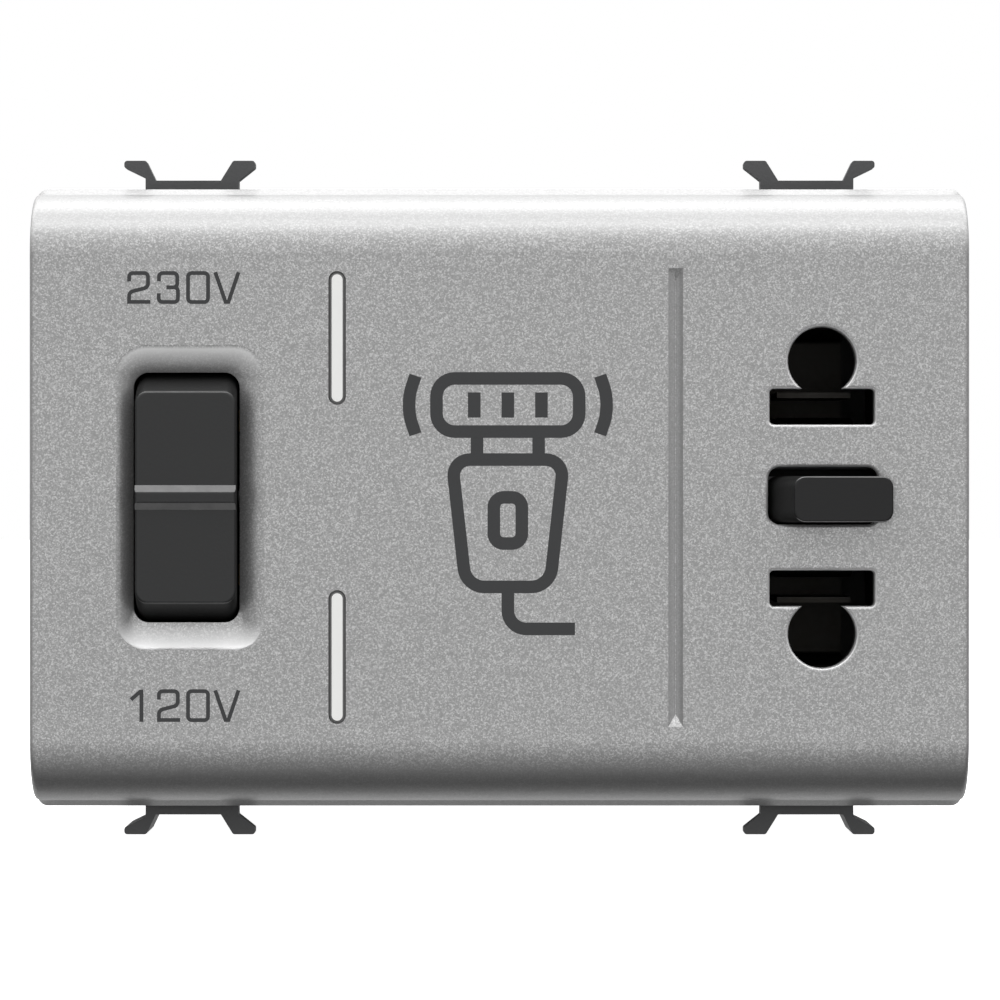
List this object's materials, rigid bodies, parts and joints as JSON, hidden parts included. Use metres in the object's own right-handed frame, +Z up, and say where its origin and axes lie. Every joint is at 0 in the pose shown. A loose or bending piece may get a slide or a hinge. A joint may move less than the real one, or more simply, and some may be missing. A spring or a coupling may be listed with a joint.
{
  "type": "shaver socket outlet",
  "caption": "Flush-mounting shaver socket outlet with a curved silver cover, a voltage selector rocker, indicator windows, keyhole pin openings and a plug-sensing lever",
  "frame": {"origin": "middle of the seat plane, where the back rim of the cover meets the mounting frame", "axes": "+X to the right seen from the front, +Y into the wall, +Z up"},
  "size_m": [0.0672, 0.0533, 0.0492],
  "materials": {
    "cover_lacquer": "silver metallic lacquer on a moulded cover",
    "black_plastic": "fine satin moulding",
    "housing_plastic": "dark grey moulding",
    "insulating_plastic": "dark insulating moulding",
    "natural_plastic": "natural white moulding",
    "clear_plastic": "clear, lightly milky",
    "board_laminate": "paper laminate",
    "lamp_resin": "clear resin",
    "resistor_coat": "beige coat",
    "spring_steel": "bright drawn wire and strip",
    "brass": "stamped and turned brass",
    "tinned_brass": "tinned strip",
    "zinc_steel": "zinc plated",
    "core_steel": "stacked sheet, varnished",
    "winding_wrap": "enamelled wire under yellow tape"
  },
  "bodies": {
    "base": {"front_cover": "cover_lacquer", "rear_housing": "housing_plastic", "partition": "natural_plastic", "upper_light_guide": "clear_plastic", "lower_light_guide": "clear_plastic", "indicator_board": "board_laminate", "upper_led": "lamp_resin", "lower_led": "lamp_resin", "upper_resistor": "resistor_coat", "lower_resistor": "resistor_coat", "selector_body": "insulating_plastic", "selector_centre_terminal": "brass", "selector_upper_terminal": "brass", "selector_lower_terminal": "brass", "socket_block": "insulating_plastic", "contact_retainer": "insulating_plastic", "upper_contact": "tinned_brass", "lower_contact": "tinned_brass", "lever_pin": "zinc_steel", "lever_spring": "spring_steel", "microswitch_body": "insulating_plastic", "microswitch_terminals": "tinned_brass", "transformer_core": "core_steel", "bobbin": "natural_plastic", "primary_winding": "winding_wrap", "secondary_winding": "winding_wrap", "thermal_cutout": "insulating_plastic", "terminal_block": "natural_plastic", "line_terminal": "brass", "neutral_terminal": "brass", "line_screw": "zinc_steel", "neutral_screw": "zinc_steel"},
    "rocker": {"rocker": "black_plastic", "rocker_plunger": "natural_plastic", "plunger_spring": "spring_steel"},
    "seesaw": {"seesaw_contact": "brass"},
    "lever": {"sensing_lever": "black_plastic"},
    "switch_plunger": {"microswitch_plunger": "natural_plastic"}
  },
  "joints": [
    {"name": "rocker_tilt", "type": "hinge", "parent": "base", "child": "rocker", "pos_m": [-0.0224, -0.0032, 0], "axis": [1, 0, 0], "range_deg": [-7, 7]},
    {"name": "seesaw_tilt", "type": "hinge", "parent": "base", "child": "seesaw", "pos_m": [-0.0224, 0.003, 0], "axis": [1, 0, 0], "range_deg": [-8.5, 8.5]},
    {"name": "lever_press", "type": "hinge", "parent": "base", "child": "lever", "pos_m": [0.0296, -0.0033, 0], "axis": [0, 0, -1], "range_deg": [0, 15], "stiffness_Nm_per_rad": 0.02, "springref_deg": -11.46, "deforming": ["lever_spring"]},
    {"name": "switch_plunger_slide", "type": "slide", "parent": "base", "child": "switch_plunger", "axis": [0, 1, 0], "range_m": [0, 0.00075]}
  ],
  "couplings": [
    {"joint": "seesaw_tilt", "follows": "rocker_tilt", "ratio": -1.1429},
    {"joint": "switch_plunger_slide", "follows": "lever_press", "m_per_rad": 0.002735}
  ]
}
